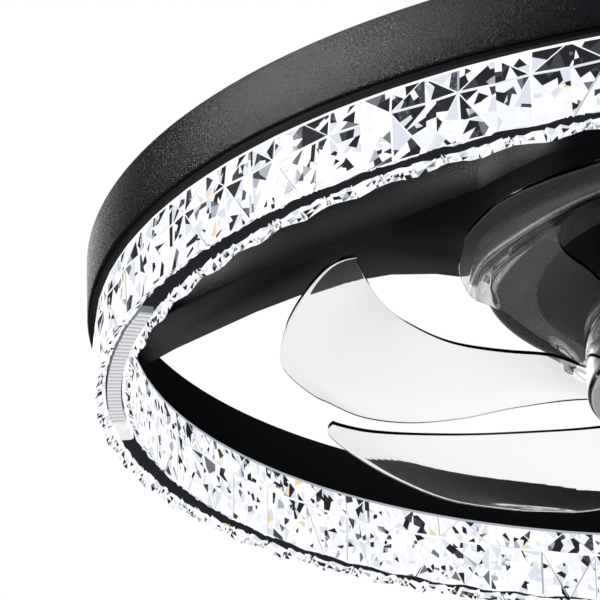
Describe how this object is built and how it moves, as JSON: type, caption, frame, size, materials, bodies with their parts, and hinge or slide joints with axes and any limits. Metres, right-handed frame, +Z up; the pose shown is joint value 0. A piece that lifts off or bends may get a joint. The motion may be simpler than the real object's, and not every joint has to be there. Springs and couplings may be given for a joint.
{
  "type": "crystal ceiling fan with light ring",
  "caption": "Flush ceiling fan: black canopy and swept arms carry a ring of faceted clear crystal round a clear swept-blade fan wheel with a silver cap",
  "frame": {"origin": "centre of the ceiling bracket's top face, where the fan meets the ceiling", "axes": "+Z up into the ceiling along the fan's axis, +Y away from the picture's viewer, +X to the picture's right"},
  "size_m": [0.5, 0.5, 0.1108],
  "materials": {
    "black_coat": "satin black powder coat",
    "black_plate": "matt black coat",
    "cover_coat": "satin dark grey coat",
    "crystal": "clear faceted crystal",
    "clear_plastic": "clear glossy plastic",
    "silver": "polished silver",
    "steel": "zinc-plated steel",
    "cast_aluminium": "machined cast aluminium",
    "magnet": "bonded magnet, dark grey",
    "copper": "enamelled copper wire",
    "white_plastic": "matt white plastic",
    "black_plastic": "matt black plastic",
    "led_board": "white solder mask"
  },
  "bodies": {
    "base": {"arm_1": "black_coat", "arm_2": "black_coat", "arm_3": "black_coat", "arm_screw_1": "steel", "arm_screw_2": "steel", "arm_screw_3": "steel", "arm_screw_4": "steel", "arm_screw_5": "steel", "arm_screw_6": "steel", "bearing_lower": "steel", "bearing_upper": "steel", "bracket_screw_1": "black_plate", "bracket_screw_2": "black_plate", "bracket_screw_3": "black_plate", "canopy": "black_coat", "ceiling_bracket": "steel", "clear_block_1": "clear_plastic", "clear_block_2": "clear_plastic", "clear_block_3": "clear_plastic", "cover_screw_1": "black_plate", "cover_screw_2": "black_plate", "cover_screw_3": "black_plate", "crystal_ring_inner": "crystal", "crystal_ring_outer": "crystal", "driver_box": "white_plastic", "led_board": "led_board", "motor_base": "cast_aluminium", "motor_bolt_1": "steel", "motor_bolt_2": "steel", "motor_bolt_3": "steel", "motor_cover": "cover_coat", "motor_plate": "black_plate", "receiver_box": "black_plastic", "ribbed_strip_1": "clear_plastic", "ribbed_strip_2": "clear_plastic", "ribbed_strip_3": "clear_plastic", "ring_base": "black_plate", "ring_housing": "black_coat", "stator_core": "steel", "stator_windings": "copper", "terminal_block": "white_plastic", "wall_screw_1": "steel", "wall_screw_2": "steel", "wall_screw_3": "steel"},
    "fan_wheel": {"blade_1": "clear_plastic", "blade_2": "clear_plastic", "blade_3": "clear_plastic", "blade_4": "clear_plastic", "blade_5": "clear_plastic", "blade_6": "clear_plastic", "blade_7": "clear_plastic", "blade_hub": "clear_plastic", "clamp_ring": "clear_plastic", "hub_cap": "silver", "magnet_ring": "magnet", "rotor_bell": "black_plate", "shaft": "steel", "shaft_collar": "steel", "shaft_nut": "steel"}
  },
  "joints": [
    {"name": "fan_spin", "type": "hinge", "parent": "base", "child": "fan_wheel", "pos_m": [0, 0, -0.08], "axis": [0, 0, 1], "continuous": true}
  ]
}
